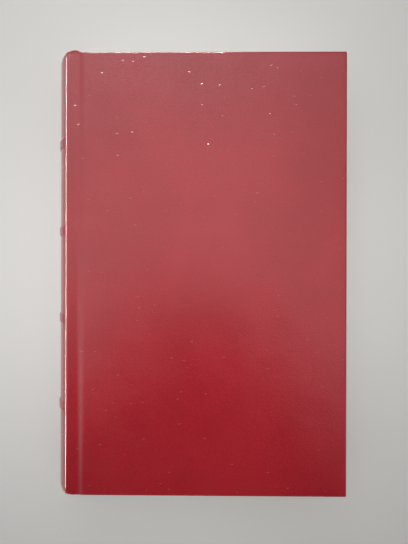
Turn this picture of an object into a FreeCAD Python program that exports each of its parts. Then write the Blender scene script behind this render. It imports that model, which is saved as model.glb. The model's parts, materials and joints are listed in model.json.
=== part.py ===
import FreeCAD, Part
import math
import os

from FreeCAD import Vector

# A hardback book lying on its back cover: case binding with a rounded back, four raised bands and
# grooved joints. X runs from the spine to the fore-edge, Y from tail to head, Z up. The origin is
# the centre of the book's footprint, on the surface that the back cover lies on. Millimetres.

# Pages
page_height = 204.0
block_thickness = 22.8
fore_edge_hollow = 7.0
paper_thickness = 0.15
leaf_gap = 0.1

# Boards and covering
board_width = 124.3
board_thickness = 2.5
board_edge_radius = 0.35
square = 2.65
covering_thickness = 0.35
turn_in = 15.0
corner_radius = 1.2

# Joints between boards and spine
joint_width = 8.0
groove_depth = 0.6
groove_from_board = 2.0
shoulder_radius = 2.5
groove_radius = 1.6
board_shoulder_radius = 0.9
cut_gap = 0.15

# Backed shoulders of the pages, under the joints
block_shoulder_radius = 1.0
block_groove_radius = 0.8
foot_radius = 1.3
foot_from_board = 0.8

# The least fillet where a layer turns a corner
least_radius = 0.1

# Spine
spine_round = 6.5
inlay_thickness = 0.6
inlay_edge_gap = 0.3
hollow_gap = 0.8
liner_thickness = 0.2
mull_thickness = 0.25
mull_flap = 25.0
mull_margin = 2.0

# Raised bands, evenly spaced and set a little towards the tail
band_count = 4
band_shift = 0.4
band_width = 2.6
band_height = 0.5
band_slope = 1.1
band_half_angle = 37.5
band_end_margin = 1.0

# Endbands
endband_radius = 0.9
endband_tape_thickness = 0.2
endband_tape_length = 10.0
endband_half_angle = 40.0

# Pressed hollow of the pastedowns, inside the turn-ins
press_ramp = 2.0

# Sizes that follow from those above
turned_layer = max(covering_thickness, mull_thickness)
cover_thickness = covering_thickness + board_thickness + turned_layer + paper_thickness
case_thickness = 2 * (cover_thickness + leaf_gap + paper_thickness) + block_thickness
board_height = page_height + 2 * square
case_height = board_height + 2 * covering_thickness
case_width = band_height + spine_round + joint_width + board_width + covering_thickness
mid_z = case_thickness / 2
block_top = mid_z + block_thickness / 2
board_inner = case_thickness - covering_thickness - board_thickness

apex_x = -case_width / 2 + band_height
shoulder_x = apex_x + spine_round
board_x = shoulder_x + joint_width
fore_x = case_width / 2
page_fore_x = fore_x - covering_thickness - square
groove_x = board_x - groove_from_board
strip_depth = covering_thickness + turned_layer + 2 * paper_thickness + leaf_gap

back_radius = (mid_z**2 + spine_round**2) / (2 * spine_round)
back_centre = Vector(apex_x + back_radius, 0, mid_z)
block_back_depth = covering_thickness + inlay_thickness + hollow_gap + liner_thickness + mull_thickness
block_back_radius = back_radius - block_back_depth
inlay_edge_x = shoulder_x - inlay_edge_gap

hinge_z = case_thickness - cover_thickness / 2

mull_height = case_height - 2 * turn_in - 2 * mull_margin
big = 2 * case_height


# Lines and arcs in the section plane

def meet(point, along, other, other_along):
    """The point where two lines cross."""
    across = along.x * other_along.z - along.z * other_along.x
    gap = other - point
    return point + along * ((gap.x * other_along.z - gap.z * other_along.x) / across)


def rounded(start, corner, end, radius):
    """A fillet at a corner: its first point, middle and last point."""
    radius = max(radius, least_radius)
    back = (start - corner).normalize()
    ahead = (end - corner).normalize()
    half = math.acos(back.dot(ahead)) / 2
    reach = radius / math.tan(half)
    middle_way = (back + ahead).normalize()
    centre = corner + middle_way * (radius / math.sin(half))
    return corner + back * reach, centre - middle_way * radius, corner + ahead * reach


def round_to_line(radius, on_line, along, inward, fillet):
    """A fillet between the rounded back, of the given radius, and a line to its right."""
    fillet = max(fillet, least_radius)
    start = on_line + inward * fillet
    offset = start - back_centre
    middle = along.dot(offset)
    travel = -middle - math.sqrt(middle**2 - offset.dot(offset) + (radius - fillet) ** 2)
    centre = start + along * travel
    outward = (centre - back_centre).normalize()
    crown = (outward - inward).normalize()
    return centre + outward * fillet, centre + crown * fillet, centre - inward * fillet


def prism(upper, right_edge, length):
    """The solid inside an upper path and its mirror image below, from tail to head."""
    def below(p):
        return Vector(p.x, 0, 2 * mid_z - p.z)

    edges = []
    for place in range(len(upper) - 1):
        here = upper[place]
        following = upper[place + 1]
        edges.append(Part.makeLine(here[-1], following[0]))
        edges.append(Part.makeLine(below(here[-1]), below(following[0])))
    for stop in upper:
        if len(stop) == 3:
            edges.append(Part.Arc(*stop).toShape())
            edges.append(Part.Arc(*[below(p) for p in stop]).toShape())
    first = upper[0][0]
    apex = back_centre - Vector((first - back_centre).Length, 0, 0)
    edges.append(Part.Arc(first, apex, below(first)).toShape())
    last = upper[-1][-1]
    edges.append(right_edge(last, below(last)))
    face = Part.Face(Part.Wire(Part.__sortEdges__(edges)))
    solid = face.extrude(Vector(0, length, 0))
    solid.translate(Vector(0, -length / 2, 0))
    return solid


def straight_edge(top, bottom):
    return Part.makeLine(top, bottom)


def hollow_edge(top, bottom):
    return Part.Arc(top, Vector(page_fore_x - fore_edge_hollow, 0, mid_z), bottom).toShape()


ramp_start = Vector(shoulder_x, 0, case_thickness)
groove_point = Vector(groove_x, 0, case_thickness - groove_depth)
rise_end = Vector(board_x, 0, case_thickness)
ramp_along = (groove_point - ramp_start).normalize()
ramp_inward = Vector(ramp_along.z, 0, -ramp_along.x)
rise_along = (rise_end - groove_point).normalize()
rise_inward = Vector(rise_along.z, 0, -rise_along.x)


def case_path(depth):
    """The outside of the case, taken in by depth: round back, shoulder, groove, board face."""
    ramp = ramp_start + ramp_inward * depth
    rise = rise_end + rise_inward * depth
    level = Vector(fore_x, 0, case_thickness - depth)
    shoulder = round_to_line(
        back_radius - depth, ramp, ramp_along, ramp_inward, shoulder_radius - depth)
    groove_corner = meet(ramp, ramp_along, rise, rise_along)
    board_corner = meet(rise, rise_along, level, Vector(1, 0, 0))
    groove = rounded(ramp, groove_corner, board_corner, groove_radius + depth)
    board = rounded(groove_corner, board_corner, level, board_shoulder_radius - depth)
    return [shoulder, groove, board, (level,)]


def case_prism(depth, length=big):
    return prism(case_path(depth), straight_edge, length)


block_groove = meet(
    ramp_start + ramp_inward * strip_depth, ramp_along,
    Vector(groove_x, 0, 0), Vector(0, 0, 1))
foot_point = Vector(board_x - foot_from_board, 0, block_top)
slope_along = (foot_point - block_groove).normalize()
slope_inward = Vector(slope_along.z, 0, -slope_along.x)


def block_path(grow):
    """The outside of the pages, let out by grow: round back, backed shoulder, slope, flat side."""
    ramp = ramp_start + ramp_inward * (strip_depth - grow)
    slope = foot_point - slope_inward * grow
    level = Vector(page_fore_x, 0, block_top + grow)
    shoulder = round_to_line(
        block_back_radius + grow, ramp, ramp_along, ramp_inward, block_shoulder_radius + grow)
    slope_corner = meet(ramp, ramp_along, slope, slope_along)
    foot_corner = meet(slope, slope_along, level, Vector(1, 0, 0))
    edge = rounded(ramp, slope_corner, foot_corner, block_groove_radius + grow)
    foot = rounded(slope_corner, foot_corner, level, foot_radius - grow)
    return [shoulder, edge, foot, (level,)]


def block_prism(grow, length=big):
    return prism(block_path(grow), straight_edge, length)


# Boxes and rings that trim the layers

def box(x_low, x_high, y_half, z_low, z_high):
    return Part.makeBox(x_high - x_low, 2 * y_half, z_high - z_low, Vector(x_low, -y_half, z_low))


def left_of(x):
    return box(-big, x, big, -big, big)


def upper_right_of(x):
    return box(x, big, big, mid_z, big)


def ends(inner_half, outer_half):
    """Two slabs across the book, one at the head and one at the tail."""
    return box(-big, big, outer_half, -big, big).cut(box(-big, big, inner_half, -big, big))


def round_bar(profile, half_angle):
    """A profile, drawn at the back's apex as (radius, y) points, turned along the rounded back."""
    corners = [back_centre + Vector(-radius, y, 0) for radius, y in profile]
    face = Part.Face(Part.makePolygon(corners + corners[:1]))
    turn_axis = Vector(0, 1, 0)
    face.rotate(back_centre, turn_axis, -half_angle)
    return face.revolve(back_centre, turn_axis, 2 * half_angle)


def mirrored(solid):
    return solid.mirror(Vector(0, 0, mid_z), Vector(0, 0, 1))


# Pages and what is glued to them

def text_block():
    return prism(block_path(0), hollow_edge, page_height)


def front_endpaper():
    """The folded endpaper as far as the joint: free leaf over the pages, double on the shoulder."""
    leaf = block_prism(paper_thickness, page_height).cut(block_prism(0))
    hinge = block_prism(2 * paper_thickness, page_height).cut(block_prism(0))
    hinge = hinge.common(left_of(groove_x))
    fold_x = mull_path(mull_thickness)[0][2].x
    return leaf.fuse(hinge).common(upper_right_of(fold_x)).removeSplitter()


def spine_mull():
    outer = mull_path(0)
    inner = mull_path(mull_thickness)
    sheet = prism(outer, straight_edge, mull_height).cut(prism(inner, straight_edge, big))
    return sheet.common(left_of(groove_x))


def mull_path(depth):
    """The gauze over the rounded back and the shoulders, taken in by depth."""
    strip = strip_depth - leaf_gap - 2 * paper_thickness - mull_thickness + depth
    path = case_path(strip)
    ramp = ramp_start + ramp_inward * strip
    radius = block_back_radius + mull_thickness - depth
    fillet = block_shoulder_radius + 2 * paper_thickness + leaf_gap + mull_thickness - depth
    path[0] = round_to_line(radius, ramp, ramp_along, ramp_inward, fillet)
    return path


def back_ring(inner, outer, half_length, half_angle):
    profile = [(inner, -half_length), (outer, -half_length), (outer, half_length), (inner, half_length)]
    return round_bar(profile, half_angle)


def back_liner():
    inner = block_back_radius + mull_thickness
    return back_ring(inner, inner + liner_thickness, mull_height / 2, endband_half_angle)


def head_band():
    """A beaded cord on a tape that is glued to the rounded back."""
    outer = block_back_radius + endband_tape_thickness
    bead_y = page_height / 2 + endband_radius
    tape_y = page_height / 2 - endband_tape_length
    tape = round_bar(
        [(block_back_radius, tape_y), (outer, tape_y), (outer, bead_y), (block_back_radius, bead_y)],
        endband_half_angle)
    middle = back_centre + Vector(-(outer - endband_radius), bead_y, 0)
    bead = Part.Face(Part.Wire(Part.makeCircle(endband_radius, middle, Vector(0, 0, 1))))
    bead.rotate(back_centre, Vector(0, 1, 0), -endband_half_angle)
    bead = bead.revolve(back_centre, Vector(0, 1, 0), 2 * endband_half_angle)
    return bead.fuse(tape).removeSplitter()


# Case spine

def spine_inlay():
    sheet = case_prism(covering_thickness, board_height)
    sheet = sheet.cut(case_prism(covering_thickness + inlay_thickness))
    return sheet.common(left_of(inlay_edge_x))


def band_middle(number):
    panel = case_height / (band_count + 1)
    return (number + 1) * panel - case_height / 2 - band_shift


def band_ridge(base_radius, middle_y, spread):
    """A ridge with sloping sides, standing on base_radius."""
    half = band_width / 2 + spread
    foot = half + band_slope
    crown = base_radius + band_height
    return [(base_radius, middle_y - foot), (crown, middle_y - half),
            (crown, middle_y + half), (base_radius, middle_y + foot)]


def raised_band(number):
    base = back_radius - covering_thickness
    return round_bar(band_ridge(base, band_middle(number), 0), band_half_angle)


def round_covering(half_angle):
    """The covering over the rounded back, with its ridges and the folds round the inlay's ends."""
    half = case_height / 2
    base = back_radius - covering_thickness
    lap_outer = base - inlay_thickness
    lap_inner = lap_outer - covering_thickness
    outer = []
    inner = []
    for number in range(band_count):
        ridge = band_ridge(back_radius, band_middle(number), covering_thickness / 2)
        strip = band_ridge(base, band_middle(number), 0)
        outer += ridge
        inner += [strip[0], strip[-1]]
    head_fold = [(back_radius, half), (lap_inner, half), (lap_inner, half - turn_in),
                 (lap_outer, half - turn_in), (lap_outer, half - covering_thickness),
                 (base, half - covering_thickness)]
    tail_fold = [(radius, -y) for radius, y in reversed(head_fold)]
    covering = round_bar(outer + head_fold + inner[::-1] + tail_fold, half_angle)
    for number in range(band_count):
        covering = covering.cut(raised_band(number))
    return covering


def sector(half_angle):
    """A wedge from the back's centre that takes in the rounded back as far as half_angle."""
    reach = Vector(-big * math.cos(math.radians(half_angle)), 0,
                   big * math.sin(math.radians(half_angle)))
    corners = [back_centre, back_centre + reach, back_centre + Vector(reach.x, 0, -reach.z)]
    face = Part.Face(Part.makePolygon(corners + corners[:1]))
    wedge = face.extrude(Vector(0, 2 * big, 0))
    wedge.translate(Vector(0, -big, 0))
    return wedge


def spine_covering():
    """The covering from groove to groove: over the bands and turned in at head and tail."""
    half_angle = band_half_angle + band_end_margin
    half = case_height / 2
    under_sheet = case_prism(covering_thickness)
    under_inlay = case_prism(covering_thickness + inlay_thickness)
    sheet = case_prism(0, case_height).cut(under_sheet).common(left_of(groove_x))
    by_inlay = left_of(inlay_edge_x)
    fold = under_sheet.cut(under_inlay).common(by_inlay)
    fold = fold.common(ends(half - covering_thickness, half))
    lap = under_inlay.cut(case_prism(2 * covering_thickness + inlay_thickness)).common(by_inlay)
    strip_lap = under_sheet.cut(case_prism(2 * covering_thickness))
    strip_lap = strip_lap.common(box(inlay_edge_x, groove_x, big, -big, big))
    laps = lap.fuse(strip_lap).common(ends(half - turn_in, half))
    shoulders = sheet.fuse([fold, laps]).cut(sector(half_angle))
    return shoulders.fuse(round_covering(half_angle))


# Covers

def front_board():
    board = box(board_x, fore_x - covering_thickness, board_height / 2,
                board_inner, case_thickness - covering_thickness)
    outer_edges = [e for e in board.Edges if e.CenterOfMass.x > board_x + 1]
    board = board.makeFillet(board_edge_radius, outer_edges)
    return board.common(case_prism(covering_thickness))


def front_covering():
    """The covering of the front board: turned in on three sides, and down into the joint."""
    inner_face = board_inner - covering_thickness
    shell = box(groove_x + cut_gap, fore_x, case_height / 2, inner_face, case_thickness)
    upright = [e for e in shell.Edges
               if e.CenterOfMass.x > fore_x - 1 and abs(e.tangentAt(e.FirstParameter).z) > 0.9]
    shell = shell.makeFillet(corner_radius, upright)
    rim = board_edge_radius + covering_thickness
    outer_edges = []
    for face in shell.Faces:
        if abs(face.normalAt(0, 0).z) > 0.9:
            outer_edges += [e for e in face.Edges if e.CenterOfMass.x > groove_x + 1]
    shell = shell.makeFillet(rim, outer_edges)
    shell = shell.common(case_prism(0))
    under_joint = case_prism(covering_thickness).common(left_of(board_x))
    pocket = box(-big, fore_x - turn_in, case_height / 2 - turn_in, inner_face - 1, board_inner)
    return shell.cut(under_joint).cut(front_board()).cut(pocket)


def front_mull_flap():
    top = board_inner - block_top
    sheet = block_prism(top, mull_height).cut(block_prism(top - mull_thickness))
    return sheet.common(upper_right_of(groove_x + cut_gap)).common(left_of(board_x + mull_flap))


def front_pastedown():
    """The half of the endpaper that is glued to the board, pressed in between the turn-ins."""
    low = paper_thickness + leaf_gap
    high = low + paper_thickness
    sheet = block_prism(high, page_height).cut(block_prism(low))
    sheet = sheet.common(upper_right_of(groove_x + cut_gap))
    left = board_x + mull_flap
    right = fore_x - turn_in
    half = case_height / 2 - turn_in
    pressed = press_well(block_top + high, left, right, half)
    hollow = press_well(block_top + low, left, right, half)
    return sheet.fuse(pressed).cut(hollow).removeSplitter()


def press_well(floor, left, right, half):
    """A flat-topped rise of the turned layer's height, with sloping sides."""
    wires = []
    for inset, level in ((0, floor), (press_ramp, floor + turned_layer)):
        corners = [Vector(left + inset, -half + inset, level), Vector(right - inset, -half + inset, level),
                   Vector(right - inset, half - inset, level), Vector(left + inset, half - inset, level)]
        wires.append(Part.makePolygon(corners + corners[:1]))
    return Part.makeLoft(wires, True, True)


def main():
    made = {
        "text_block": text_block(),
        "front_endpaper": front_endpaper(),
        "spine_mull": spine_mull(),
        "back_liner": back_liner(),
        "head_band": head_band(),
        "spine_inlay": spine_inlay(),
        "spine_covering": spine_covering(),
        "front_board": front_board(),
        "front_covering": front_covering(),
        "front_mull_flap": front_mull_flap(),
        "front_pastedown": front_pastedown(),
    }
    for front in [name for name in made if name.startswith("front_")]:
        made[front.replace("front_", "back_", 1)] = mirrored(made[front])
    made["tail_band"] = made["head_band"].mirror(Vector(0, 0, 0), Vector(0, 1, 0))
    for number in range(band_count):
        made[f"raised_band_{number + 1}"] = raised_band(number)
    os.makedirs("parts", exist_ok=True)
    for name, shape in made.items():
        shape.exportStep(f"parts/{name}.step")
        print(name, len(shape.Solids), shape.isValid(), round(shape.Volume, 1))
    print("hinge x", round(shoulder_x, 3), "z", round(hinge_z, 3), "thickness", round(case_thickness, 3))
    return made


main()
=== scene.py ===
import json
import math

import bmesh
import bpy
import numpy as np
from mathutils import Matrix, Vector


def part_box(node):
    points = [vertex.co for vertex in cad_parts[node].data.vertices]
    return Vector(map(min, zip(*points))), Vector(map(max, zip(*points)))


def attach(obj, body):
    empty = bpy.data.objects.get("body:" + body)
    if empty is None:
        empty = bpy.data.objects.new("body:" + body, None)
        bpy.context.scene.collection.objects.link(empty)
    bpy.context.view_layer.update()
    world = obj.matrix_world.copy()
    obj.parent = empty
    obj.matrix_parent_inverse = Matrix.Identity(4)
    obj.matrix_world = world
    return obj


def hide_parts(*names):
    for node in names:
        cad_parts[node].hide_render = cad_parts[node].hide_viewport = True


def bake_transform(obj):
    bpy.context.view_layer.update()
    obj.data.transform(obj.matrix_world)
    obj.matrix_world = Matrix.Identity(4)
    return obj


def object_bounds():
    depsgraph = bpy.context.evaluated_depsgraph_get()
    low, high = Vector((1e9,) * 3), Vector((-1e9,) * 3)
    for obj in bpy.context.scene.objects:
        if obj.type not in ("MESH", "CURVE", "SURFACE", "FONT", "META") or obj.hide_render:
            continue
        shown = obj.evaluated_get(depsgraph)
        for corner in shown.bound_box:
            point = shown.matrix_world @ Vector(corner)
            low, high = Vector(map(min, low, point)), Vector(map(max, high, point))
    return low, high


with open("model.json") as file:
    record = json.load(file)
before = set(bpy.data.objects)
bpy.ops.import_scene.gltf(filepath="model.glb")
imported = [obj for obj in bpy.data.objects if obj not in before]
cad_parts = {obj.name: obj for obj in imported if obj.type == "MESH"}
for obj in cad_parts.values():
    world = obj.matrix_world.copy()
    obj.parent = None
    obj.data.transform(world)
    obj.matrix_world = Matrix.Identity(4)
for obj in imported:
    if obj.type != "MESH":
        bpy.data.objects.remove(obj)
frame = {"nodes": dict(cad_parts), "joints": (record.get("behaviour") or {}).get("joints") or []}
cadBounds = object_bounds()
mm = 0.001

# The case as the frame has it, in metres. All the pieces below take their places from these.
caseForm = {
    "spineRound": 6.5 * mm,
    "grooveFromBoard": 2.0 * mm,
    "grooveDepth": 0.6 * mm,
    "cloth": 0.35 * mm,
    "inlay": 0.6 * mm,
    "turnIn": 15.0 * mm,
    "mullFlap": 25.0 * mm,
}
hinges = {joint["name"]: joint for joint in frame["joints"]}
shoulderX = hinges["front_cover_hinge"]["pos_m"][0]
thick = cadBounds[1][2]
middleZ = thick / 2
halfHeight = cadBounds[1][1]
foreX = cadBounds[1][0]
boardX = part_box("front_board")[0][0]
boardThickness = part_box("front_board")[1][2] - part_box("front_board")[0][2]
backRadius = (middleZ ** 2 + caseForm["spineRound"] ** 2) / (2 * caseForm["spineRound"])
backX = shoulderX - caseForm["spineRound"] + backRadius
pageLow, pageHigh = (np.array(corner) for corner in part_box("text_block"))
chance = np.random.default_rng(7)


def smooth(share):
    # 0 below 0, 1 above 1, and a soft S between: 3 t^2 - 2 t^3.
    share = np.clip(share, 0, 1)
    return share * share * (3 - 2 * share)


def gridFaces(rows, columns, first=0):
    # Quads of a grid whose point (i, j) is number first + i * columns + j.
    corner = first + np.arange(rows - 1)[:, None] * columns + np.arange(columns - 1)[None, :]
    return np.stack([corner, corner + columns, corner + columns + 1, corner + 1], -1).reshape(-1, 4)


def chain(corners, step):
    # A line through corner points, cut into steps of nearly equal length.
    parts = []
    for here, following in zip(corners[:-1], corners[1:]):
        here, following = np.array(here), np.array(following)
        count = max(1, int(round(np.linalg.norm(following - here) / step)))
        parts.append(here + (following - here) * np.arange(count)[:, None] / count)
    return np.vstack(parts + [np.array(corners[-1:])])


def softened(line, spread, step):
    # A moving average with a bell-shaped weight. Each end is carried on as its own mirror image
    # through the end point, so the ends stay where they are.
    reach = int(4 * spread / step)
    weight = np.exp(-0.5 * (np.arange(-reach, reach + 1) * step / spread) ** 2)
    weight /= weight.sum()
    before = 2 * line[0] - line[reach:0:-1]
    after = 2 * line[-1] - line[-2:-reach - 2:-1]
    padded = np.vstack([before, line, after])
    return np.stack([np.convolve(padded[:, k], weight, "valid") for k in range(line.shape[1])], 1)


def onBoard(x):
    # 0 left of the board's edge, 1 a little to the right of it.
    return smooth((x - boardX - 1 * mm) / (3 * mm))


def lengthAlong(line):
    return np.concatenate([[0], np.cumsum(np.linalg.norm(np.diff(line, axis=0), axis=1))])


def sidewaysOf(line):
    # The unit vector a quarter turn to the left of the line's direction, at each point.
    ahead = np.gradient(line, axis=0)
    ahead /= np.linalg.norm(ahead, axis=1)[:, None]
    return np.stack([-ahead[:, 1], ahead[:, 0]], 1)


def readLine(line, at):
    # Points of a line at the given lengths along it.
    along = lengthAlong(line)
    return np.stack([np.interp(at, along, line[:, k]) for k in range(line.shape[1])], 1)


def finishShading(mesh, sharpAngle):
    mesh.polygons.foreach_set("use_smooth", np.ones(len(mesh.polygons), bool))
    mesh.set_sharp_from_angle(angle=math.radians(sharpAngle))
    mesh.update()


def makePiece(name, points, faces, sharpAngle=50, weld=0.0):
    # Points and faces as arrays; faces is a list of arrays. Points closer than weld become one.
    mesh = bpy.data.meshes.new(name)
    mesh.from_pydata(np.asarray(points).tolist(), [], [face for block in faces for face in block.tolist()])
    piece = bpy.data.objects.new(name, mesh)
    bpy.context.scene.collection.objects.link(piece)
    if weld:
        work = bmesh.new()
        work.from_mesh(mesh)
        bmesh.ops.remove_doubles(work, verts=work.verts, dist=weld)
        bmesh.ops.dissolve_degenerate(work, edges=work.edges, dist=weld)
        work.to_mesh(mesh)
        work.free()
    finishShading(mesh, sharpAngle)
    return piece


def thicken(piece, thickness, sharpAngle=50):
    # Gives a sheet its thickness on the inner side, and keeps the result as the piece's mesh.
    wall = piece.modifiers.new("wall", "SOLIDIFY")
    wall.thickness = thickness
    wall.offset = -1
    shown = piece.evaluated_get(bpy.context.evaluated_depsgraph_get())
    mesh = bpy.data.meshes.new_from_object(shown)
    mesh.name = piece.name
    piece.modifiers.clear()
    piece.data = mesh
    finishShading(mesh, sharpAngle)


def pointsOf(piece):
    flat = np.zeros(len(piece.data.vertices) * 3)
    piece.data.vertices.foreach_get("co", flat)
    return flat.reshape(-1, 3)


def numberPoints(piece, name, values):
    # A float for each point, which a material reads by its name.
    attribute = piece.data.attributes.new(name, "FLOAT", "POINT")
    attribute.data.foreach_set("value", np.asarray(values, np.float32))


def onSide(side, form):
    # A form made for the front, or its mirror image in the book's middle plane: z becomes thick - z.
    points, faces = form
    if side == "front":
        return points, faces
    flipped = np.array(points)
    flipped[..., 2] = thick - flipped[..., 2]
    return flipped, [block[:, ::-1] for block in faces]


def bendWithCover(piece, side, still, turned):
    # Bakes the piece's placing into its mesh, on either side.
    if side == "front":
        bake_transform(piece)
    else:
        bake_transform(piece)


# The red covering

covering = {
    "archStep": 0.5 * mm,        # spacing of points round the spine, across the joint, on the board
    "jointStep": 0.22 * mm,
    "boardStep": 2.4 * mm,
    "bandStep": 0.3 * mm,        # and on each side of a band's middle, bandSteps times
    "bandSteps": 12,
    "jointEnds": (2.0 * mm, 1.5 * mm),      # the close points reach this far past the joint
    "jointSoftness": 0.7 * mm,   # how far the cloth rounds the corners of the joint
    "rimAcross": 0.7 * mm,       # the rounded board edge, across the face and down the side
    "rimDown": 0.6 * mm,
    "bandHeight": 0.5 * mm,
    "bandFlat": 1.5 * mm,        # half the width of a band's crown
    "bandSlope": 1.4 * mm,
    "bandFade": (38.2, 45.5),    # degrees from the spine's middle between which a band dies away
    "unevenness": 0.012 * mm,    # of the glued cloth: waves of these lengths, none in the outer rim
    "waves": 9,
    "waveLengths": (9 * mm, 34 * mm),
    "stillRim": 4.0 * mm,
    "rimFade": 6.0 * mm,
    "headCap": 1.1 * mm,         # over spine and joint the folded cloth stands further out at the head
    "capEnd": 3.0 * mm,          # it starts to fall off this far left of the board, over capFade
    "capFade": 2.6 * mm,
    "capRise": 4.0 * mm,         # and grows to its full height over this width, right of the shoulder
    "capHeight": 8.0 * mm,       # how far down the book it begins, and the width of its soft step
    "capSoftness": 7.0 * mm,
    "capDroop": 0.9 * mm,        # round the spine the ends turn down over capReach
    "capReach": 3.5 * mm,
    "droopEnd": 0.5 * mm,        # that falls off from this far right of the shoulder, over droopFade
    "droopFade": 3.0 * mm,
    "inlayEdge": (0.1 * mm, 0.8 * mm),      # the turned-in cloth steps down on to the spine's card
    "boardEdge": (0.85 * mm, 0.6 * mm),     # and on to the board: left of it, over this width
    "wear": 1.6 * mm,            # how far in from the edge the cloth is rubbed
    "bend": (-0.3 * mm, 2.8 * mm),          # places right of the shoulder, handed to bendWithCover
}
cornerSteps = np.array([0, 0.4, 0.8, 1.3, 2, 3, 4.5, 6.5, 9, 11.5, 13.8]) * mm
bandMiddles = [float(sum(corner[1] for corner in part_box(f"raised_band_{n}")) / 2) for n in (1, 2, 3, 4)]


def caseSection():
    # The outside of the case in the (x, z) plane, from the middle of the spine to the fore-edge:
    # an arc of the back's radius, straight down into the groove, up to the board, level.
    step = 0.05 * mm
    top = math.asin(middleZ / backRadius)
    turn = np.linspace(0, top, int(backRadius * top / step))[:, None]
    arch = np.hstack([backX - backRadius * np.cos(turn), middleZ + backRadius * np.sin(turn)])
    grooveX = boardX - caseForm["grooveFromBoard"]
    corners = [(shoulderX, thick), (grooveX, thick - caseForm["grooveDepth"]),
               (boardX, thick), (foreX - covering["rimAcross"], thick)]
    return softened(np.vstack([arch[:-1], chain(corners, step)]), covering["jointSoftness"], step)


def coverColumns(line):
    # Lengths along the section where the mesh has points: close at the joint and the fore-edge.
    along = lengthAlong(line)
    shoulder = along[np.searchsorted(line[:, 0], shoulderX)]
    board = along[np.searchsorted(line[:, 0], boardX)]
    before, after = covering["jointEnds"]
    corner = along[-1] - cornerSteps[::-1]
    return np.concatenate([
        np.arange(0, shoulder - before, covering["archStep"]),
        np.arange(shoulder - before, board + after, covering["jointStep"]),
        np.arange(board + after, corner[0] - 1 * mm, covering["boardStep"]), corner])


def coverRows():
    # Places along the book's height: close at head and tail and over each raised band.
    end = halfHeight - covering["rimAcross"]
    places = [end - cornerSteps, cornerSteps - end]
    places.append(np.arange(cornerSteps[-1] - end, end - cornerSteps[-1], covering["boardStep"]))
    count = covering["bandSteps"]
    for middle in bandMiddles:
        places.append(middle + np.arange(-count, count + 1) * covering["bandStep"])
    return np.unique(np.round(np.concatenate(places), 5))


def bandRise(angle, y):
    # Height of the raised bands: a crown with soft flanks along y, dying away round the back.
    fadeFrom, fadeTo = covering["bandFade"]
    fade = 1 - smooth((np.degrees(angle) - fadeFrom) / (fadeTo - fadeFrom))
    rise = np.zeros_like(y)
    for middle in bandMiddles:
        beside = np.abs(y - middle) - covering["bandFlat"]
        rise = rise + 1 - smooth(beside / covering["bandSlope"])
    return covering["bandHeight"] * fade * rise


def pastedUnevenness(x, y):
    # The covering isn't glued down quite flat: a sum of slow waves in several directions.
    total = np.zeros_like(x)
    for wave in range(covering["waves"]):
        heading = chance.uniform(0, math.pi)
        length = chance.uniform(*covering["waveLengths"])
        shift = chance.uniform(0, 2 * math.pi)
        across = x * math.cos(heading) + y * math.sin(heading)
        total = total + np.sin(2 * math.pi * across / length + shift)
    return covering["unevenness"] * total


def foldRings(places, normals, outward, depth, reach):
    # The cloth folded round an edge, ring by ring: place + outward * across - normal * down, over
    # a quarter ellipse, a straight stretch and a second quarter ellipse, then back inwards.
    edge = covering["rimAcross"]
    across = np.clip(depth / 2, caseForm["cloth"], edge)
    down = np.clip(depth / 2, caseForm["cloth"], covering["rimDown"])
    rings = []
    for turn in np.radians([0, 15, 30, 45, 60, 75, 90]):
        rings.append((edge - across + across * math.sin(turn), down * (1 - math.cos(turn))))
    rings.append((np.full_like(depth, edge), depth / 2))
    for turn in np.radians([90, 75, 60, 45, 30, 15, 0]):
        rings.append((edge - across + across * math.sin(turn), depth - down * (1 - math.cos(turn))))
    for share in (0.06, 0.15, 0.3, 0.6, 1.0):
        rings.append((-reach * share, depth))
    return np.stack([places + outward * a[:, None] - normals * d[:, None] for a, d in rings], 1)


def headCap(points):
    # How far a point moves out at the head: fully over the joint, half as far round the spine, not
    # at all on the board, and further down the book ever less.
    x, y = points[..., 0], points[..., 1]
    offBoard = 1 - smooth((x - boardX + covering["capEnd"]) / covering["capFade"])
    share = offBoard * (0.5 + 0.5 * smooth((x - shoulderX) / covering["capRise"]))
    nearHead = smooth((y - halfHeight + covering["capHeight"]) / covering["capSoftness"])
    return covering["headCap"] * share * nearHead


def capDroop(points):
    # How far a point of the spine or shoulder sinks near head and tail: depth * (way into reach)^2.
    x, y = points[..., 0], points[..., 1]
    share = 1 - smooth((x - shoulderX - covering["droopEnd"]) / covering["droopFade"])
    way = np.clip((np.abs(y) - halfHeight + covering["capReach"]) / covering["capReach"], 0, 1)
    return covering["capDroop"] * share * way ** 2


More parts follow.
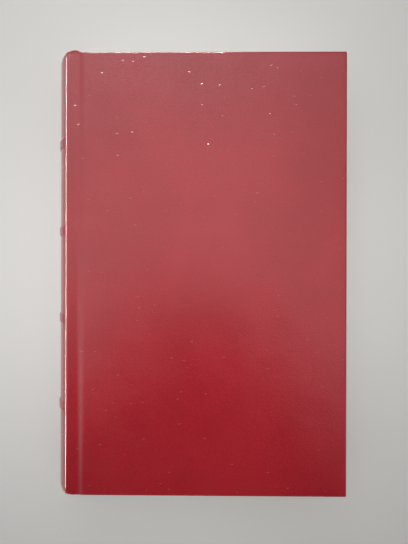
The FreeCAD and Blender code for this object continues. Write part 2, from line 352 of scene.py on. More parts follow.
def coverSheet():
    # One half of the covering as an open sheet: the outside as a grid of section columns and rows
    # of y, then the folds round head, fore-edge and tail, which meet in mitred corners.
    line = caseSection()
    columns = coverColumns(line)
    section = readLine(line, columns)
    along = lengthAlong(line)
    normal = np.stack([np.interp(columns, along, sidewaysOf(line)[:, k]) for k in (0, 1)], 1)
    normal /= np.linalg.norm(normal, axis=1)[:, None]
    rows = coverRows()
    x, y = np.meshgrid(section[:, 0], rows, indexing="ij")
    angle = np.arctan2(section[:, 1] - middleZ, backX - section[:, 0])[:, None] + 0 * y
    rim, fade = covering["stillRim"], covering["rimFade"]
    inside = smooth((halfHeight - rim - np.abs(y)) / fade) * smooth((foreX - rim - x) / fade)
    rise = bandRise(angle, y) + pastedUnevenness(x, y) * inside * onBoard(x)
    face = np.stack([x + normal[:, :1] * rise, y, section[:, 1:] + normal[:, 1:] * rise], -1)
    flat = np.stack([normal[:, 0], 0 * normal[:, 0], normal[:, 1]], 1)

    corner = face[-1, -1]
    edgeX, edgeY = corner[0], corner[1]
    fan = np.radians([15, 30, 45, 60, 75])
    fanOut = np.stack([np.sin(fan), np.cos(fan), 0 * fan], 1)
    up = np.array([0.0, 0.0, 1.0])
    fullReach = caseForm["turnIn"] - covering["rimAcross"]
    boardDepth = boardThickness + 2 * caseForm["cloth"]
    stripDepth = 2 * caseForm["cloth"]
    inlayEdge, inlayFade = covering["inlayEdge"]
    boardEdge, boardFade = covering["boardEdge"]
    columnDepth = (stripDepth
                   + caseForm["inlay"] * smooth((shoulderX - inlayEdge - section[:, 0]) / inlayFade)
                   + (boardDepth - stripDepth) * smooth((section[:, 0] - boardX + boardEdge) / boardFade))
    columnReach = np.clip(edgeX - section[:, 0], 0, fullReach)
    rowReach = np.clip(edgeY - np.abs(rows), 0, fullReach)
    head, tail = np.array([0.0, 1.0, 0.0]), np.array([0.0, -1.0, 0.0])
    fore = np.array([1.0, 0.0, 0.0])
    countX, countY = len(section), len(rows)

    def several(value, count):
        return np.repeat(np.array([value], float), count, axis=0)

    places = np.vstack([face[:, -1], several(corner, 5), face[-1, ::-1],
                        several(face[-1, 0], 5), face[::-1, 0]])
    normals = np.vstack([flat, several(up, 5), several(up, countY), several(up, 5), flat[::-1]])
    outward = np.vstack([several(head, countX), fanOut, several(fore, countY),
                         fanOut[::-1] * [1, -1, 1], several(tail, countX)])
    depth = np.concatenate([columnDepth, np.full(10 + countY, boardDepth), columnDepth[::-1]])
    reach = np.concatenate([columnReach, np.zeros(5), rowReach, np.zeros(5), columnReach[::-1]])
    rings = foldRings(places, normals, outward, depth, reach)
    joined = np.concatenate([places[:, None], rings], 1)
    joined -= normals[:, None] * capDroop(joined)[..., None]
    face -= flat[:, None] * capDroop(face)[..., None]
    joined[..., 1] += headCap(joined)
    face[..., 1] += headCap(face)
    points = np.vstack([face.reshape(-1, 3), joined.reshape(-1, 3)])
    faces = [gridFaces(countX, countY), gridFaces(len(places), joined.shape[1], countX * countY)]
    return points, faces


def coveringHalf(side, points, faces):
    # The mesh keeps how near the edge each point is, for the wear: 1 at the edge, 0 further in.
    piece = makePiece(f"{side}_cover_cloth", points, faces, weld=1e-7)
    thicken(piece, caseForm["cloth"])
    place = pointsOf(piece)
    fromEdge = np.minimum(foreX - place[:, 0], halfHeight - np.abs(place[:, 1]))
    numberPoints(piece, "edge", 1 - smooth(fromEdge / covering["wear"]))
    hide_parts(f"{side}_covering", "spine_covering")
    bendWithCover(piece, side, *(shoulderX + place for place in covering["bend"]))
    return piece


print("covering")
coverForm = coverSheet()
coverings = [coveringHalf(side, *onSide(side, coverForm)) for side in ("front", "back")]


# The pages

pages = {
    "leaves": 190,
    "gatherings": 13,
    "leafRelief": 0.02 * mm,     # how far the gap between two leaves lies behind their edges
    "leafSpread": 0.03 * mm,     # leaves that stand a little proud or short
    "gatheringSpread": 0.07 * mm,
    "gatheringGap": 0.12 * mm,
    "foreEdgeHollow": 7.0 * mm,
    # corners of the flat side and the backed shoulder, from the case's shoulder: right, and down
    "shoulderPeak": (2.2 * mm, 1.32 * mm),
    "shoulderEnd": (6.0 * mm, 1.71 * mm),
    "slopeFoot": (7.2 * mm, 3.6 * mm),
}
blockRadius = backX - pageLow[0]


def sideLine(lift, fromX, toX, step=0.1 * mm):
    # The pages' upper side in (x, z), raised by lift: shoulder, slope down under the joint, level.
    corners = [(shoulderX + pages[key][0], thick - pages[key][1] + lift)
               for key in ("shoulderPeak", "shoulderEnd", "slopeFoot")]
    corners.append((toX, corners[-1][1]))
    line = softened(chain(corners, step), 0.3 * mm, step)
    return line[line[:, 0] >= fromX - step]


def leafRaggedness(count):
    # How far each leaf's edge lies inside the trimmed face: per leaf, per gathering, and in the gaps.
    leaf = chance.uniform(0, 1, count) * pages["leafSpread"]
    share = np.arange(count) / count * pages["gatherings"]
    gathering = chance.uniform(0, 1, pages["gatherings"])[share.astype(int)] * pages["gatheringSpread"]
    toGap = np.minimum(share % 1, 1 - share % 1) * count / pages["gatherings"]
    return leaf + gathering + pages["gatheringGap"] * np.exp(-toGap ** 2 / 0.5)


def pageBlock():
    # Each leaf is a closed outline: round back, head, fore-edge, tail. Its height is
    # middle + t * half thickness at that x, t running from -1 to 1, so the leaves fan out to the
    # backed shoulders. The back ends on an arc and the fore-edge on a hollow arc.
    count = 2 * pages["leaves"] + 1
    t = np.linspace(-1, 1, count)
    ragged = leafRaggedness(pages["leaves"])
    inset = np.zeros(count)
    inset[1::2] = ragged
    inset[0::2] = np.concatenate([[ragged[0]], np.maximum(ragged[1:], ragged[:-1]), [ragged[-1]]])
    inset[0::2] += pages["leafRelief"]
    upper = sideLine(0, -1, pageHigh[0])
    peak = upper[0, 1] - middleZ
    flat = pageHigh[0] - 0 * t
    halfFlat = upper[-1, 1] - middleZ
    hollow = pages["foreEdgeHollow"]
    hollowRadius = (halfFlat ** 2 + hollow ** 2) / (2 * hollow)
    foreEnd = flat - hollow + hollowRadius - np.sqrt(hollowRadius ** 2 - (t * halfFlat) ** 2) - inset
    backEnd = backX - np.sqrt(blockRadius ** 2 - (t * peak) ** 2)
    stops = np.concatenate([np.arange(0, 16) * 0.6 * mm, np.arange(16, 32) * 0.75 * mm]) / 0.12
    stops = np.unique(np.concatenate([stops, np.linspace(stops[-1], 1, 9)]))
    xs = backEnd[:, None] + (foreEnd - backEnd)[:, None] * stops[None, :]
    halfAt = np.interp(xs, upper[:, 0], upper[:, 1] - middleZ)
    zs = middleZ + t[:, None] * halfAt
    ends = pageHigh[1] - inset[:, None] + 0 * xs
    rowsY = np.linspace(1, -1, 14)[1:-1]
    foreY = ends[:, -1:] * rowsY
    backY = ends[:, :1] * rowsY[::-3]

    def ring(x, y, z):
        return np.stack([x, y, z], -1)

    headSide = ring(xs, ends, zs)
    foreSide = ring(xs[:, -1:] + 0 * foreY, foreY, zs[:, -1:] + 0 * foreY)
    tailSide = ring(xs, -ends, zs)[:, ::-1]
    backSide = ring(xs[:, :1] + 0 * backY, backY, zs[:, :1] + 0 * backY)
    outline = np.concatenate([headSide, foreSide, tailSide, backSide, headSide[:, :1]], 1)
    walls = gridFaces(count, outline.shape[1])[:, ::-1]
    wide = len(stops)
    tailStart = wide + foreSide.shape[1]
    nearHead = np.arange(wide - 1)
    nearTail = tailStart + wide - 1 - nearHead
    bottom = np.stack([nearHead, nearHead + 1, nearTail - 1, nearTail], 1)
    top = bottom[:, ::-1] + (count - 1) * outline.shape[1]
    return outline.reshape(-1, 3), [walls, bottom, top], np.repeat(t, outline.shape[1])


print("pages")
pagePoints, pageFaces, pageHeights = pageBlock()
pageStack = makePiece("page_stack", pagePoints, pageFaces, sharpAngle=60)
numberPoints(pageStack, "leaf", (pageHeights + 1) / 2 * pages["leaves"])
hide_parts("text_block")
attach(pageStack, "book_block")


# Endpapers: the free leaf over the pages, and the half that is pasted to the board

endpapers = {
    "thickness": 0.14 * mm,
    "leafLift": 0.01 * mm,
    "pasteLift": 0.25 * mm,
    "foldAt": 2.7 * mm,          # the fold, right of the case's shoulder
    "foldTurn": 0.6 * mm,        # the pasted half has close points from there over this width
    "overMull": 0.15 * mm,       # both halves rise over the gauze that ends here, right of the shoulder
    "mullEnd": 5.9 * mm,
    "pressDepth": 0.35 * mm,     # between the turn-ins the paper lies this much deeper
    "pressRamp": 1.4 * mm,
    "ridge": 0.05 * mm,          # the turned-in cloth's edge shows through the paper
    "ridgeWidth": 0.7 * mm,
    "swell": 0.015 * mm,         # the free leaf isn't quite flat
}


foldX = shoulderX + endpapers["foldAt"]


def spaced(low, high, step, closeTo=(), closeStep=0.35 * mm, closeReach=3 * mm):
    # Even places from low to high, with closer ones about some of them.
    places = [np.arange(low, high, step), [high]]
    for place in closeTo:
        near = np.arange(place - closeReach, place + closeReach, closeStep)
        places.append(near[(near > low) & (near < high)])
    return np.unique(np.round(np.concatenate(places), 5))


def nearShoulder(x):
    # 1 over the gauze on the backed shoulder, 0 beyond it.
    return 1 - smooth((x - shoulderX - endpapers["mullEnd"]) / (1 * mm))


def freeLeaf():
    # A sheet over the pages: the pages' side line, lifted, carried from tail to head.
    line = sideLine(endpapers["leafLift"] + endpapers["thickness"], foldX, pageHigh[0])
    x = spaced(line[0, 0], line[-1, 0] - 0.15 * mm, 2.5 * mm, [shoulderX + 6.5 * mm], 0.2 * mm)
    y = np.linspace(pageLow[1], pageHigh[1], 60)
    z = np.interp(x, line[:, 0], line[:, 1])
    swell = endpapers["swell"] * np.sin(x[:, None] * 170 + 2 * np.sin(y[None, :] * 45))
    z = z + endpapers["overMull"] * nearShoulder(x)
    z = z[:, None] + swell * smooth((x[:, None] - boardX) / (8 * mm))
    points = np.stack([x[:, None] + 0 * z, y[None, :] + 0 * z, z], -1)
    return points.reshape(-1, 3), [gridFaces(len(x), len(y))]


def pastedLeaf():
    # The same line, lifted on to the board, and pressed in where no cloth is turned in under it.
    line = sideLine(endpapers["pasteLift"], foldX, pageHigh[0])
    left = boardX + caseForm["mullFlap"]
    right = foreX - caseForm["turnIn"]
    inner = halfHeight - caseForm["turnIn"]
    x = spaced(line[0, 0], line[-1, 0], 2.5 * mm, [left, right])
    turn = np.linspace(line[0, 0], foldX + endpapers["foldTurn"], 25)
    slope = np.arange(turn[-1], boardX + 1 * mm, 0.2 * mm)
    x = np.unique(np.round(np.concatenate([x, turn, slope]), 6))
    y = spaced(pageLow[1], pageHigh[1], 2.5 * mm, [-inner, inner])
    gridX, gridY = np.meshgrid(x, y, indexing="ij")
    ramp = endpapers["pressRamp"]
    between = smooth((inner - np.abs(gridY)) / ramp)
    window = smooth((gridX - left) / ramp) * smooth((right - gridX) / ramp) * between
    besideX = np.exp(-((gridX - right) / endpapers["ridgeWidth"]) ** 2) * between
    besideY = np.exp(-((np.abs(gridY) - inner) / endpapers["ridgeWidth"]) ** 2)
    beside = np.maximum(besideX, besideY * smooth((right - gridX) / ramp))
    z = np.interp(gridX, line[:, 0], line[:, 1]) + endpapers["pressDepth"] * window
    z = z + 0.5 * endpapers["overMull"] * nearShoulder(gridX)
    z = z - endpapers["ridge"] * beside * onBoard(gridX)
    points = np.stack([gridX, gridY, z], -1)
    return points.reshape(-1, 3), [gridFaces(len(x), len(y))[:, ::-1]]


def paperPiece(name, points, faces, node):
    piece = makePiece(name, points, faces)
    thicken(piece, endpapers["thickness"])
    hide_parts(node)
    return piece


print("endpapers")
leafForm = freeLeaf()
pastedForm = pastedLeaf()
leaves = []
for side in ("front", "back"):
    leaf = paperPiece(f"{side}_free_leaf", *onSide(side, leafForm), f"{side}_endpaper")
    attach(leaf, "book_block")
    pasted = paperPiece(f"{side}_pasted_leaf", *onSide(side, pastedForm), f"{side}_pastedown")
    bendWithCover(pasted, side, foldX, foldX + endpapers["foldTurn"])
    leaves += [leaf, pasted]


# Endbands: thread wound over a cord, on a tape that is glued to the back of the pages

endband = {
    "cordRadius": 0.9 * mm,
    "sides": 16,
    "tape": 0.2 * mm,
    "tapeLength": 10 * mm,
    "halfAngle": 40,
    "threads": 48,
    "threadRelief": 0.11,
    "stripe": 3,                 # threads of one colour before the other
}


def closedEnds(rings, around):
    # Rings of points with a ring drawn together in one point before the first and after the last.
    count = rings.shape[1]
    first, last = (around[end].mean(0, keepdims=True).repeat(count, 0) for end in (0, -1))
    return np.concatenate([first[None], rings, last[None]], 0)


def woundCord(headY):
    # A tube along an arc about the back's centre; its radius swells over each thread:
    # radius * (1 - relief + relief * |sin|).
    along = np.linspace(-1, 1, endband["threads"] * 6 + 1)
    phase = (along + 1) / 2 * endband["threads"]
    swell = 1 - endband["threadRelief"] * (1 - np.abs(np.sin(math.pi * phase)))
    turn = np.radians(along * endband["halfAngle"])[:, None]
    around = np.linspace(0, 2 * math.pi, endband["sides"] + 1)[None, :-1]
    radius = endband["cordRadius"] * swell[:, None]
    fromCentre = blockRadius + endband["tape"] - endband["cordRadius"] + radius * np.cos(around)
    x = backX - fromCentre * np.cos(turn)
    z = middleZ + fromCentre * np.sin(turn)
    y = headY - endband["cordRadius"] + radius * np.sin(around)
    points = np.stack([x, y, z], -1)
    whole = closedEnds(np.concatenate([points, points[:, :1]], 1), points)
    stripes = np.concatenate([[phase[0]], phase, [phase[-1]]])
    return whole.reshape(-1, 3), gridFaces(*whole.shape[:2]), np.repeat(stripes, whole.shape[1])


def backTape(headY, first):
    # A thin curved plate: two arcs of nearly the pages' radius, closed round their four sides.
    turn = np.radians(np.linspace(-1, 1, 40) * endband["halfAngle"])[:, None]
    high = headY - endband["cordRadius"]
    low = high - endband["tapeLength"]
    radii = np.array([0, 0, 1, 1, 0]) * endband["tape"] + blockRadius
    ys = np.array([low, high, high, low, low])
    points = np.stack([backX - radii * np.cos(turn), ys + 0 * turn, middleZ + radii * np.sin(turn)], -1)
    whole = closedEnds(points, points)
    return whole.reshape(-1, 3), gridFaces(*whole.shape[:2], first)[:, ::-1]


def makeEndband(end):
    # Made at the head; the tail's is its mirror image in the plane y = 0.
    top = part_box("head_band")[1][1]
    cord, cordFaces, phase = woundCord(top)
    tape, tapeFaces = backTape(top, len(cord))
    points = np.vstack([cord, tape])
    faces = [cordFaces, tapeFaces]
    if end == "tail":
        points = points * [1, -1, 1]
        faces = [block[:, ::-1] for block in faces]
    piece = makePiece(f"{end}_endband", points, faces, sharpAngle=60)
    numberPoints(piece, "stripe", np.concatenate([phase // endband["stripe"] % 2, np.zeros(len(tape))]))
    work = bmesh.new()
    work.from_mesh(piece.data)
    bmesh.ops.remove_doubles(work, verts=work.verts, dist=1e-7)
    bmesh.ops.recalc_face_normals(work, faces=work.faces)
    work.to_mesh(piece.data)
    work.free()
    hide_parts(f"{end}_band")
    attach(piece, "book_block")
    return piece


print("endbands")
endbands = [makeEndband(end) for end in ("head", "tail")]


# Shader helpers

def feed(tree, socket, value):
    if isinstance(value, bpy.types.NodeSocket):
        tree.links.new(value, socket)
    else:
        socket.default_value = value


def addNode(tree, kind, settings=None, **inputs):
    node = tree.nodes.new(kind)
    for name, value in (settings or {}).items():
        setattr(node, name, value)
    for name, value in inputs.items():
        feed(tree, node.inputs[name.replace("_", " ")], value)
    return node


def calc(tree, operation, first, second=0.0, clamp=False):
    node = tree.nodes.new("ShaderNodeMath")
    node.operation = operation
    node.use_clamp = clamp
    feed(tree, node.inputs[0], first)
    feed(tree, node.inputs[1], second)
    return node.outputs[0]


def times(tree, first, second):
    return calc(tree, "MULTIPLY", first, second)


def noise(tree, vector, scale, detail, **others):
    node = addNode(tree, "ShaderNodeTexNoise", Vector=vector, Scale=scale, Detail=detail, **others)
    return node.outputs["Fac"]


def mixColours(tree, share, first, second):
    node = tree.nodes.new("ShaderNodeMix")
    node.data_type = "RGBA"
    feed(tree, node.inputs[0], share)
    feed(tree, node.inputs[6], first)
    feed(tree, node.inputs[7], second)
    return node.outputs[2]


def ranged(tree, value, fromLow, fromHigh, toLow=0.0, toHigh=1.0):
    node = tree.nodes.new("ShaderNodeMapRange")
    node.interpolation_type = "SMOOTHSTEP"
    feed(tree, node.inputs[0], value)
    for place, number in enumerate((fromLow, fromHigh, toLow, toHigh), 1):
        node.inputs[place].default_value = number
    return node.outputs[0]


def newGroup(name, inputs, outputs):
    tree = bpy.data.node_groups.new(name, "ShaderNodeTree")
    for label, kind in inputs:
        tree.interface.new_socket(label, in_out="INPUT", socket_type=kind)
    for label, kind in outputs:
        tree.interface.new_socket(label, in_out="OUTPUT", socket_type=kind)
    return tree, tree.nodes.new("NodeGroupInput"), tree.nodes.new("NodeGroupOutput")


def fibresGroup():
    # Paper: short fibres from noise stretched two ways, and slow cloudiness of the pulp.
    tree, given, out = newGroup(
        "fibres", [("Vector", "NodeSocketVector"), ("Scale", "NodeSocketFloat")],
        [("Height", "NodeSocketFloat"), ("Cloud", "NodeSocketFloat")])
    vector, scale = given.outputs["Vector"], given.outputs["Scale"]
    total = 0.0
    for turn in (0.4, 1.9):
        drawnOut = addNode(tree, "ShaderNodeMapping", Vector=vector,
                           Rotation=(0, 0, turn), Scale=(1, 0.22, 1))
        total = calc(tree, "ADD", total, noise(tree, drawnOut.outputs[0], scale, 3.0))
    feed(tree, out.inputs["Height"], times(tree, total, 0.5))
    feed(tree, out.inputs["Cloud"], noise(tree, vector, times(tree, scale, 0.06), 2.0))
    return tree


fibreGroup = fibresGroup()


def useFibres(tree, vector, scale):
    node = tree.nodes.new("ShaderNodeGroup")
    node.node_tree = fibreGroup
    feed(tree, node.inputs["Vector"], vector)
    feed(tree, node.inputs["Scale"], scale)
    return node


def newMaterial(name):
    material = bpy.data.materials.new(name)
    material.use_nodes = True
    tree = material.node_tree
    shader = tree.nodes["Principled BSDF"]
    where = tree.nodes.new("ShaderNodeTexCoord").outputs["Object"]
    return material, tree, shader, where


def bump(tree, height, distance, under=None):
    # The relief's normal, on top of the one of a coarser relief where that is given.
    node = addNode(tree, "ShaderNodeBump", Height=height, Distance=distance, Strength=1.0)
    if under is not None:
        tree.links.new(under, node.inputs["Normal"])
    return node.outputs[0]


def readNumber(tree, name):
    return addNode(tree, "ShaderNodeAttribute", {"attribute_name": name}).outputs["Fac"]


redCloth = {
    "deep": (0.30, 0.0115, 0.0190, 1),
    "light": (0.34, 0.0145, 0.0230, 1),
    # painted shade: the darker colour laid into the grain's creases
    "crease": (0.15, 0.004, 0.008, 1),
    "worn": (0.33, 0.03, 0.04, 1),
    "creaseShare": 0.22,
    "wornShare": 0.5,
    "blotchScale": 28.0,
    "waveScale": 95.0,
    "grainScale": 1100.0,        # cells per metre, drawn out along the book's width
    "grainStretch": (0.45, 1.4, 1),
    "grainWarp": 0.0006,
    "pimpleScale": 242.0,
    "pimpleSize": 0.11,
    "grainDepth": 0.030 * mm,
    "glossGrainDepth": 0.019 * mm,
    "pimpleDepth": 0.09 * mm,
    "pimpleRoughness": 0.28,
    "waveDepth": 0.06 * mm,
    "roughness": (0.36, 0.46),
    "baseGloss": 0.08,
    "coat": 1.0,                 # the glossy skin, and how much of it the edges have lost
    "edgeWear": 0.85,
    "coatRoughness": 0.10,
}


def leatherGrain(tree, where):
    # Embossed grain: low cells with creases between them, broken up by finer noise, and here and
    # there a round pimple. Gives height, the mask of painted shade in the creases, and pimple.
    scale = redCloth["grainScale"]
    vector = addNode(tree, "ShaderNodeMapping", Vector=where, Scale=redCloth["grainStretch"]).outputs[0]
    warp = addNode(tree, "ShaderNodeTexNoise", Vector=vector, Scale=0.6 * scale, Detail=1.0)
    push = tree.nodes.new("ShaderNodeVectorMath")
    push.operation = "MULTIPLY_ADD"
    tree.links.new(warp.outputs["Color"], push.inputs[0])
    push.inputs[1].default_value = (redCloth["grainWarp"],) * 3
    tree.links.new(vector, push.inputs[2])
    cells = addNode(tree, "ShaderNodeTexVoronoi", {"feature": "DISTANCE_TO_EDGE"},
                    Vector=push.outputs[0], Scale=scale)
    dome = ranged(tree, cells.outputs["Distance"], 0.0, 0.28)
    fine = noise(tree, vector, 2.6 * scale, 2.0)
    height = calc(tree, "ADD", times(tree, dome, 0.6), times(tree, fine, 0.9))
    spots = addNode(tree, "ShaderNodeTexVoronoi", Vector=vector, Scale=redCloth["pimpleScale"])
    pimple = ranged(tree, spots.outputs["Distance"], 0.0, redCloth["pimpleSize"], 1.0, 0.0)
    return height, calc(tree, "SUBTRACT", 1.0, dome), pimple


def redLeatherCloth():
    material, tree, shader, where = newMaterial("redLeatherCloth")
    grain, crease, pimple = leatherGrain(tree, where)
    edge = readNumber(tree, "edge")
    blotch = noise(tree, where, redCloth["blotchScale"], 3.0)
    slow = noise(tree, where, redCloth["waveScale"], 1.0, Distortion=0.8)
    colour = mixColours(tree, ranged(tree, blotch, 0.3, 0.7), redCloth["deep"], redCloth["light"])
    # Painted shade: the grain's creases are darkened in the colour.
    colour = mixColours(tree, times(tree, crease, redCloth["creaseShare"]), colour, redCloth["crease"])
    rubbed = times(tree, edge, ranged(tree, slow, 0.45, 0.7))
    colour = mixColours(tree, times(tree, rubbed, redCloth["wornShare"]), colour, redCloth["worn"])
    feed(tree, shader.inputs["Base Color"], colour)
    feed(tree, shader.inputs["Roughness"], ranged(tree, slow, 0.25, 0.75, *redCloth["roughness"]))
    shader.inputs["Specular IOR Level"].default_value = redCloth["baseGloss"]
    worn = times(tree, edge, redCloth["edgeWear"])
    feed(tree, shader.inputs["Coat Weight"], calc(tree, "SUBTRACT", redCloth["coat"], worn))
    shader.inputs["Coat Roughness"].default_value = redCloth["coatRoughness"]
    coatRoughness = ranged(tree, pimple, 0.0, 0.3, redCloth["coatRoughness"], redCloth["pimpleRoughness"])
    feed(tree, shader.inputs["Coat Roughness"], coatRoughness)
    wavy = bump(tree, slow, redCloth["waveDepth"])
    feed(tree, shader.inputs["Normal"], bump(tree, grain, redCloth["grainDepth"], wavy))
    pimpled = bump(tree, pimple, redCloth["pimpleDepth"], wavy)
    feed(tree, shader.inputs["Coat Normal"], bump(tree, grain, redCloth["glossGrainDepth"], pimpled))
    return material


pagePaper = {
    "light": (0.80, 0.745, 0.63, 1),
    "tanned": (0.62, 0.54, 0.41, 1),
    # gap: painted shade between two leaves
    "gap": (0.36, 0.30, 0.22, 1),
    "streaks": 30.0,             # noise along the edges, and from leaf to leaf
    "streaksPerLeaf": 0.9,
    "fibreScale": 2500.0,
    "relief": 0.01 * mm,
}


def pageEdges():
    # The leaf number is read from the mesh, so the streaks and the painted shade between leaves follow the
    # leaves round the shoulders.
    material, tree, shader, where = newMaterial("pageEdges")
    leaf = readNumber(tree, "leaf")
    parts = addNode(tree, "ShaderNodeSeparateXYZ", Vector=where)
    run = addNode(tree, "ShaderNodeCombineXYZ", X=times(tree, parts.outputs["X"], pagePaper["streaks"]),
                  Y=times(tree, parts.outputs["Y"], pagePaper["streaks"]),
                  Z=times(tree, leaf, pagePaper["streaksPerLeaf"]))
    streak = noise(tree, run.outputs[0], 1.0, 2.0)
    sheet = calc(tree, "ABSOLUTE", calc(tree, "SINE", times(tree, leaf, math.pi)))
    colour = mixColours(tree, ranged(tree, streak, 0.35, 0.7), pagePaper["light"], pagePaper["tanned"])
    # Painted shade: the gap between two leaves is darkened in the colour.
    colour = mixColours(tree, ranged(tree, sheet, 0.35, 0.0), colour, pagePaper["gap"])
    fibre = useFibres(tree, where, pagePaper["fibreScale"])
    feed(tree, shader.inputs["Base Color"], colour)
    feed(tree, shader.inputs["Roughness"], ranged(tree, streak, 0.2, 0.8, 0.8, 0.95))
    feed(tree, shader.inputs["Normal"], bump(tree, fibre.outputs["Height"], pagePaper["relief"]))
    return material


def plainPaper(name, light, dark, scale=1800.0, depth=0.012 * mm, clouding=1.0):
    # Paper, card or board: clouds of the darker tone, specks where fibres lie high.
    material, tree, shader, where = newMaterial(name)
    fibre = useFibres(tree, where, scale)
    cloud = ranged(tree, fibre.outputs["Cloud"], 0.3, 0.7)
    colour = mixColours(tree, times(tree, cloud, clouding), light, dark)
    speck = times(tree, ranged(tree, fibre.outputs["Height"], 0.62, 0.72), 0.35)
    colour = mixColours(tree, speck, colour, [0.7 * part for part in dark[:3]] + [1])
    feed(tree, shader.inputs["Base Color"], colour)
    feed(tree, shader.inputs["Roughness"], ranged(tree, fibre.outputs["Height"], 0.3, 0.7, 0.78, 0.92))
    feed(tree, shader.inputs["Normal"], bump(tree, fibre.outputs["Height"], depth))
    return material


mull = {
    "thread": (0.72, 0.68, 0.58, 1),
    "gap": (0.42, 0.37, 0.29, 1),
    "threadScale": 3600.0,       # pi over the distance from thread to thread, in metres
    "relief": 0.06 * mm,
}


def gauze():
    # Open plain weave: threads across and along as rounded waves, high where one crosses over.
    material, tree, shader, where = newMaterial("gauze")
    parts = addNode(tree, "ShaderNodeSeparateXYZ", Vector=where)
    phases = [times(tree, parts.outputs[axis], mull["threadScale"]) for axis in ("X", "Y", "Z")]
    waves = [calc(tree, "ABSOLUTE", calc(tree, "SINE", phase)) for phase in phases]
    height = calc(tree, "MAXIMUM", calc(tree, "MAXIMUM", waves[0], waves[2]), waves[1])
    colour = mixColours(tree, ranged(tree, height, 0.75, 0.45), mull["thread"], mull["gap"])
    feed(tree, shader.inputs["Base Color"], colour)
    feed(tree, shader.inputs["Roughness"], ranged(tree, height, 0.4, 1.0, 0.95, 0.8))
    feed(tree, shader.inputs["Normal"], bump(tree, height, mull["relief"]))
    return material


thread = {
    "pale": (0.80, 0.74, 0.62, 1),
    "red": (0.36, 0.02, 0.028, 1),
    "shade": (0.2, 0.12, 0.08, 1),
    "twist": 1400.0,
    "sheen": 0.3,
    "relief": 0.04 * mm,
}


def endbandThread():
    material, tree, shader, where = newMaterial("endbandThread")
    wave = addNode(tree, "ShaderNodeTexWave", Vector=where, Scale=thread["twist"], Distortion=1.5)
    twist = wave.outputs["Fac"]
    stripe = ranged(tree, readNumber(tree, "stripe"), 0.45, 0.55)
    colour = mixColours(tree, stripe, thread["pale"], thread["red"])
    # Painted shade along the twist of the thread.
    colour = mixColours(tree, times(tree, twist, 0.25), colour, thread["shade"])
    feed(tree, shader.inputs["Base Color"], colour)
    feed(tree, shader.inputs["Roughness"], ranged(tree, twist, 0.0, 1.0, 0.6, 0.85))
    shader.inputs["Sheen Weight"].default_value = thread["sheen"]
    feed(tree, shader.inputs["Normal"], bump(tree, twist, thread["relief"]))
    return material


print("materials")
coveringFinish = redLeatherCloth()
pageFinish = pageEdges()
endpaperFinish = plainPaper("endpaperStock", (0.82, 0.77, 0.66, 1), (0.74, 0.68, 0.56, 1), clouding=0.4)
linerFinish = plainPaper("brownLiner", (0.42, 0.28, 0.16, 1), (0.34, 0.22, 0.12, 1), 1200.0, 0.02 * mm)
cardFinish = plainPaper("spineCard", (0.45, 0.39, 0.30, 1), (0.36, 0.30, 0.23, 1), 900.0, 0.03 * mm)
boardFinish = plainPaper("greyBoard", (0.33, 0.30, 0.26, 1), (0.24, 0.21, 0.18, 1), 700.0, 0.05 * mm)
gauzeFinish = gauze()
threadFinish = endbandThread()


def dress(piece, material):
    piece.data.materials.clear()
    piece.data.materials.append(material)


for piece in coverings:
    dress(piece, coveringFinish)
for piece in leaves:
    dress(piece, endpaperFinish)
for piece in endbands:
    dress(piece, threadFinish)
dress(pageStack, pageFinish)
nodeFinishes = {
    "front_board": boardFinish, "back_board": boardFinish, "spine_inlay": cardFinish,
    "spine_mull": gauzeFinish, "front_mull_flap": gauzeFinish, "back_mull_flap": gauzeFinish,
    "back_liner": linerFinish,
}
nodeFinishes.update((f"raised_band_{number}", cardFinish) for number in (1, 2, 3, 4))
for node, material in nodeFinishes.items():
    for place in frame["nodes"][node].material_slots:
        place.material = material


# Floor, light and camera

studio = {
    "floor": (0.60, 0.595, 0.58, 1),
    "floorSize": 4.0,
    "worldStrength": 0.30,
    "overheadHeight": 1.0,
    "overheadStrength": 1.5,
    "overheadHalf": 1.4,
    "wedgeEdge": (-0.28, 0.28),  # the light dims to nothing between these places, over the tail
    "wedgeSlope": (0.65, 0.95),  # how fast that edge drops away to the left and to the right
    "leftDim": (-0.95, -0.45, 0.42),        # from, to and by how much it is weaker to the left
    "rightDim": (0.05, 0.6, 0.35),
    "windowStrength": 85.0,
    "windowPlace": (-1.3, 0.05, 0.60),
    "windowTurn": (0, -65.5, 0),
    "windowSize": (0.13, 1.7),
    "headLampPower": 60.0,
    "headLampPlace": (-0.25, 1.3, 0.85),
    "headLampTurn": (-57, 0, 0),
    "headLampSize": (0.6, 0.1),
    "poolPower": 40.0,
    "poolPlace": (-0.008, 0.004, 0.95),
    "poolSoftness": 0.12,
    "poolAngle": 14.5,           # degrees across the round patch of light on the book
}
view = {
    "place": (4.45 * mm, 0.81 * mm, 222.8 * mm),
    "turn": (0.02, 0.55, 0.13),
    "focal": 408.6,              # in pixels of a picture that is 544 high
    "pictureHeight": 544,
}


def flatSquare(name, half, height, order):
    corners = [(-half, -half, height), (half, -half, height), (half, half, height), (-half, half, height)]
    return makePiece(name, np.array(corners), [np.array([order])])


def makeFloor():
    material, tree, shader, where = newMaterial("paleFloor")
    pale = [0.97 * part for part in studio["floor"][:3]] + [1]
    colour = mixColours(tree, noise(tree, where, 9.0, 3.0), studio["floor"], pale)
    feed(tree, shader.inputs["Base Color"], colour)
    shader.inputs["Roughness"].default_value = 0.75
    floor = flatSquare("floor", studio["floorSize"] / 2, -0.02 * mm, [0, 1, 2, 3])
    dress(floor, material)


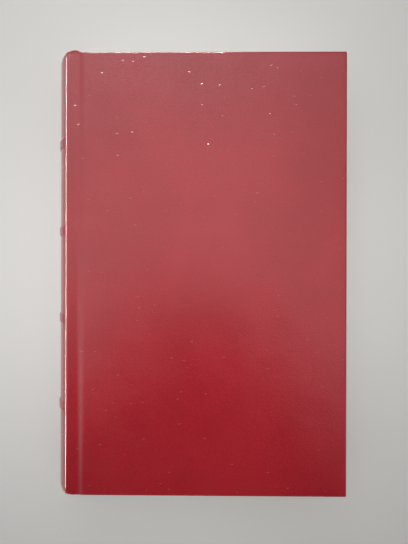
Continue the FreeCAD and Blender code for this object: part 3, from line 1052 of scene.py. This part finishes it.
def makeOverhead():
    # A broad sheet over the book that glows at the head and is black over the tail. Its strength is
    # a soft step in y + slope * |x|, so the dark part is a wedge, and it's weaker to both sides.
    material = bpy.data.materials.new("overheadGlow")
    material.use_nodes = True
    tree = material.node_tree
    tree.nodes.clear()
    where = tree.nodes.new("ShaderNodeTexCoord").outputs["Object"]
    parts = addNode(tree, "ShaderNodeSeparateXYZ", Vector=where)
    x, y = parts.outputs["X"], parts.outputs["Y"]
    leftSlope, rightSlope = studio["wedgeSlope"]
    left = times(tree, calc(tree, "MAXIMUM", times(tree, x, -1.0), 0.0), leftSlope)
    right = times(tree, calc(tree, "MAXIMUM", x, 0.0), rightSlope)
    step = calc(tree, "ADD", y, calc(tree, "ADD", left, right))
    strength = times(tree, ranged(tree, step, *studio["wedgeEdge"]), studio["overheadStrength"])
    fromX, toX, share = studio["rightDim"]
    strength = times(tree, strength, ranged(tree, x, fromX, toX, 1.0, 1.0 - share))
    fromX, toX, share = studio["leftDim"]
    strength = times(tree, strength, ranged(tree, x, fromX, toX, 1.0 - share, 1.0))
    glow = addNode(tree, "ShaderNodeEmission", Color=(1.0, 0.985, 0.97, 1), Strength=strength)
    out = tree.nodes.new("ShaderNodeOutputMaterial")
    tree.links.new(glow.outputs[0], out.inputs["Surface"])
    sheet = flatSquare("overhead_light", studio["overheadHalf"], studio["overheadHeight"], [0, 3, 2, 1])
    dress(sheet, material)
    sheet.visible_camera = False


def addLamp(name, kind, place, turn, power):
    lamp = bpy.data.lights.new(name, kind)
    lamp.energy = power
    lampObject = bpy.data.objects.new(name, lamp)
    lampObject.location = place
    lampObject.rotation_euler = [math.radians(angle) for angle in turn]
    bpy.context.scene.collection.objects.link(lampObject)
    return lampObject


def addStrip(name, place, turn, size, power):
    # A long lamp that shows only as a line in the gloss.
    strip = addLamp(name, "AREA", place, turn, power)
    strip.data.shape = "RECTANGLE"
    strip.data.size, strip.data.size_y = size
    strip.visible_camera = False
    strip.visible_diffuse = False


def addPool():
    # A soft round patch of light on the middle of the book, from straight above.
    pool = addLamp("pool", "SPOT", studio["poolPlace"], (0, 0, 0), studio["poolPower"])
    pool.data.spot_size = math.radians(studio["poolAngle"])
    pool.data.spot_blend = 1.0
    pool.data.shadow_soft_size = studio["poolSoftness"]
    pool.visible_glossy = False


def setWorld():
    # Pale white where the camera sees it, and weaker as a light on the book.
    world = bpy.data.worlds.new("studio")
    bpy.context.scene.world = world
    world.use_nodes = True
    tree = world.node_tree
    background = tree.nodes["Background"]
    path = tree.nodes.new("ShaderNodeLightPath")
    seen = calc(tree, "ADD", path.outputs["Is Camera Ray"], path.outputs["Is Transmission Ray"], clamp=True)
    background.inputs["Color"].default_value = (0.96, 0.97, 1.0, 1)
    extra = times(tree, seen, 1 - studio["worldStrength"])
    feed(tree, background.inputs["Strength"], calc(tree, "ADD", extra, studio["worldStrength"]))


def makeCamera():
    camera = bpy.data.cameras.new("camera")
    camera.sensor_width = 36.0
    camera.lens = camera.sensor_width * view["focal"] / view["pictureHeight"]
    camera.clip_start = 0.01
    cameraObject = bpy.data.objects.new("camera", camera)
    cameraObject.location = view["place"]
    cameraObject.rotation_euler = [math.radians(angle) for angle in view["turn"]]
    bpy.context.scene.collection.objects.link(cameraObject)
    bpy.context.scene.camera = cameraObject


print("studio")
makeFloor()
makeOverhead()
windowPower = studio["windowStrength"] * math.pi * math.prod(studio["windowSize"])
addStrip("window", studio["windowPlace"], studio["windowTurn"], studio["windowSize"], windowPower)
addStrip("head_lamp", studio["headLampPlace"], studio["headLampTurn"], studio["headLampSize"],
         studio["headLampPower"])
addPool()
setWorld()
makeCamera()
bpy.context.scene.view_settings.view_transform = "Standard"
